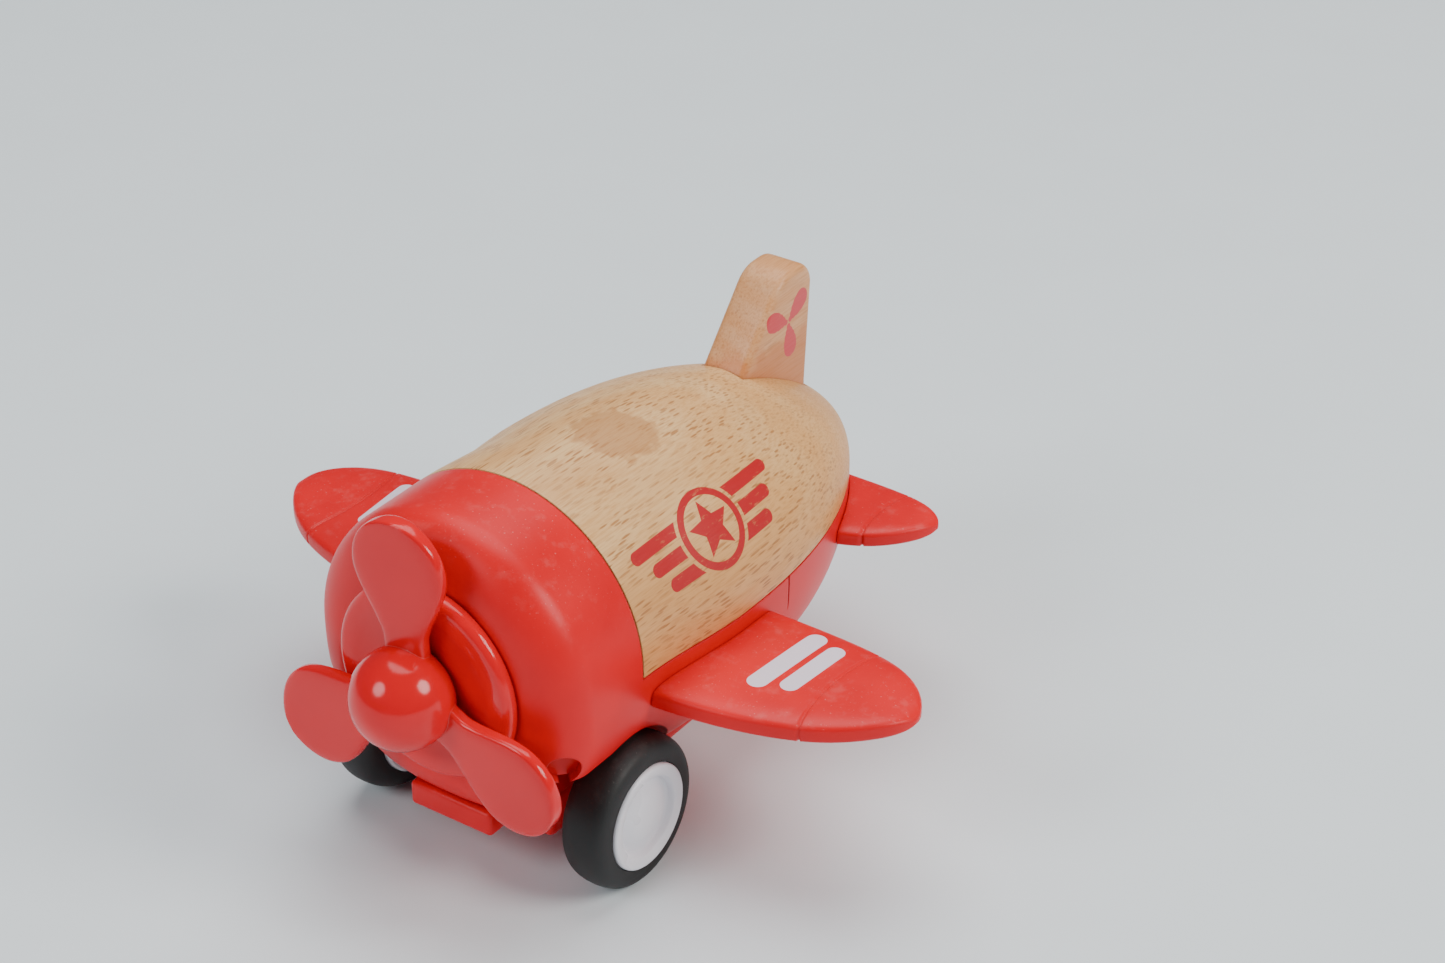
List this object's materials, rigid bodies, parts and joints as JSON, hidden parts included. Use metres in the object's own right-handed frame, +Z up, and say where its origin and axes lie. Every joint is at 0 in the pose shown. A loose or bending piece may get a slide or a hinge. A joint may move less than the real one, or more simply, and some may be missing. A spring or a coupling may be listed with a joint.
{
  "type": "toy airplane",
  "caption": "Pull-back toy airplane with a plastic cowl and tub, a wooden upper body and fin, plug-in wings, a free-spinning propeller and a geared spring motor driving the front wheels",
  "frame": {"origin": "on the ground under the middle of the bounding box", "axes": "+Z up, the nose towards -Y, the port wing towards +X"},
  "size_m": [0.1166, 0.1126, 0.0656],
  "materials": {
    "red_plastic": "satin moulded",
    "gloss_red_plastic": "glossy moulded",
    "beech": "clear satin lacquer",
    "steel": "plain",
    "brass": "plain",
    "white_plastic": "smooth moulded",
    "rubber": "matte",
    "grey_plastic": "moulded",
    "gear_nylon": "natural"
  },
  "bodies": {
    "airframe": {"fuselage_shell": "red_plastic", "wood_body": "beech", "tail_fin": "beech", "wing_port": "red_plastic", "wing_starboard": "red_plastic", "tailplane_port": "red_plastic", "tailplane_starboard": "red_plastic", "nose_disc": "gloss_red_plastic", "propeller_bush": "brass", "belly_tray": "red_plastic", "tray_screw_0": "steel", "tray_screw_1": "steel", "tray_screw_2": "steel", "tray_screw_3": "steel", "wood_screw_0": "steel", "wood_screw_1": "steel", "tail_bracket": "red_plastic", "bracket_screw": "steel", "tail_pin": "steel", "idler_pin": "steel", "barrel_pin": "steel", "motor_case_port": "grey_plastic", "motor_case_starboard": "grey_plastic"},
    "propeller": {"propeller": "gloss_red_plastic", "propeller_shaft": "steel", "shaft_collar": "steel"},
    "front_wheels": {"front_axle": "steel", "hub_port": "white_plastic", "hub_starboard": "white_plastic", "tyre_port": "rubber", "tyre_starboard": "rubber", "drive_pinion": "gear_nylon"},
    "idler": {"idler_gear": "gear_nylon"},
    "barrel": {"spring_barrel": "gear_nylon", "mainspring": "steel"},
    "tail_wheel": {"tail_wheel": "rubber"}
  },
  "joints": [
    {"name": "front_axle_spin", "type": "hinge", "parent": "airframe", "child": "front_wheels", "pos_m": [0, -0.0257, 0.0121], "axis": [1, 0, 0], "continuous": true},
    {"name": "idler_spin", "type": "hinge", "parent": "airframe", "child": "idler", "pos_m": [0, -0.0192, 0.02042], "axis": [1, 0, 0], "continuous": true},
    {"name": "barrel_spin", "type": "hinge", "parent": "airframe", "child": "barrel", "pos_m": [0, -0.00815, 0.02081], "axis": [1, 0, 0], "continuous": true},
    {"name": "propeller_spin", "type": "hinge", "parent": "airframe", "child": "propeller", "pos_m": [0, -0.0485, 0.0363], "axis": [0, 1, 0], "continuous": true},
    {"name": "tail_wheel_spin", "type": "hinge", "parent": "airframe", "child": "tail_wheel", "pos_m": [0, 0.036, 0.0056], "axis": [1, 0, 0], "continuous": true}
  ],
  "couplings": [
    {"joint": "idler_spin", "follows": "front_axle_spin", "ratio": -0.4},
    {"joint": "barrel_spin", "follows": "front_axle_spin", "ratio": 0.15}
  ]
}
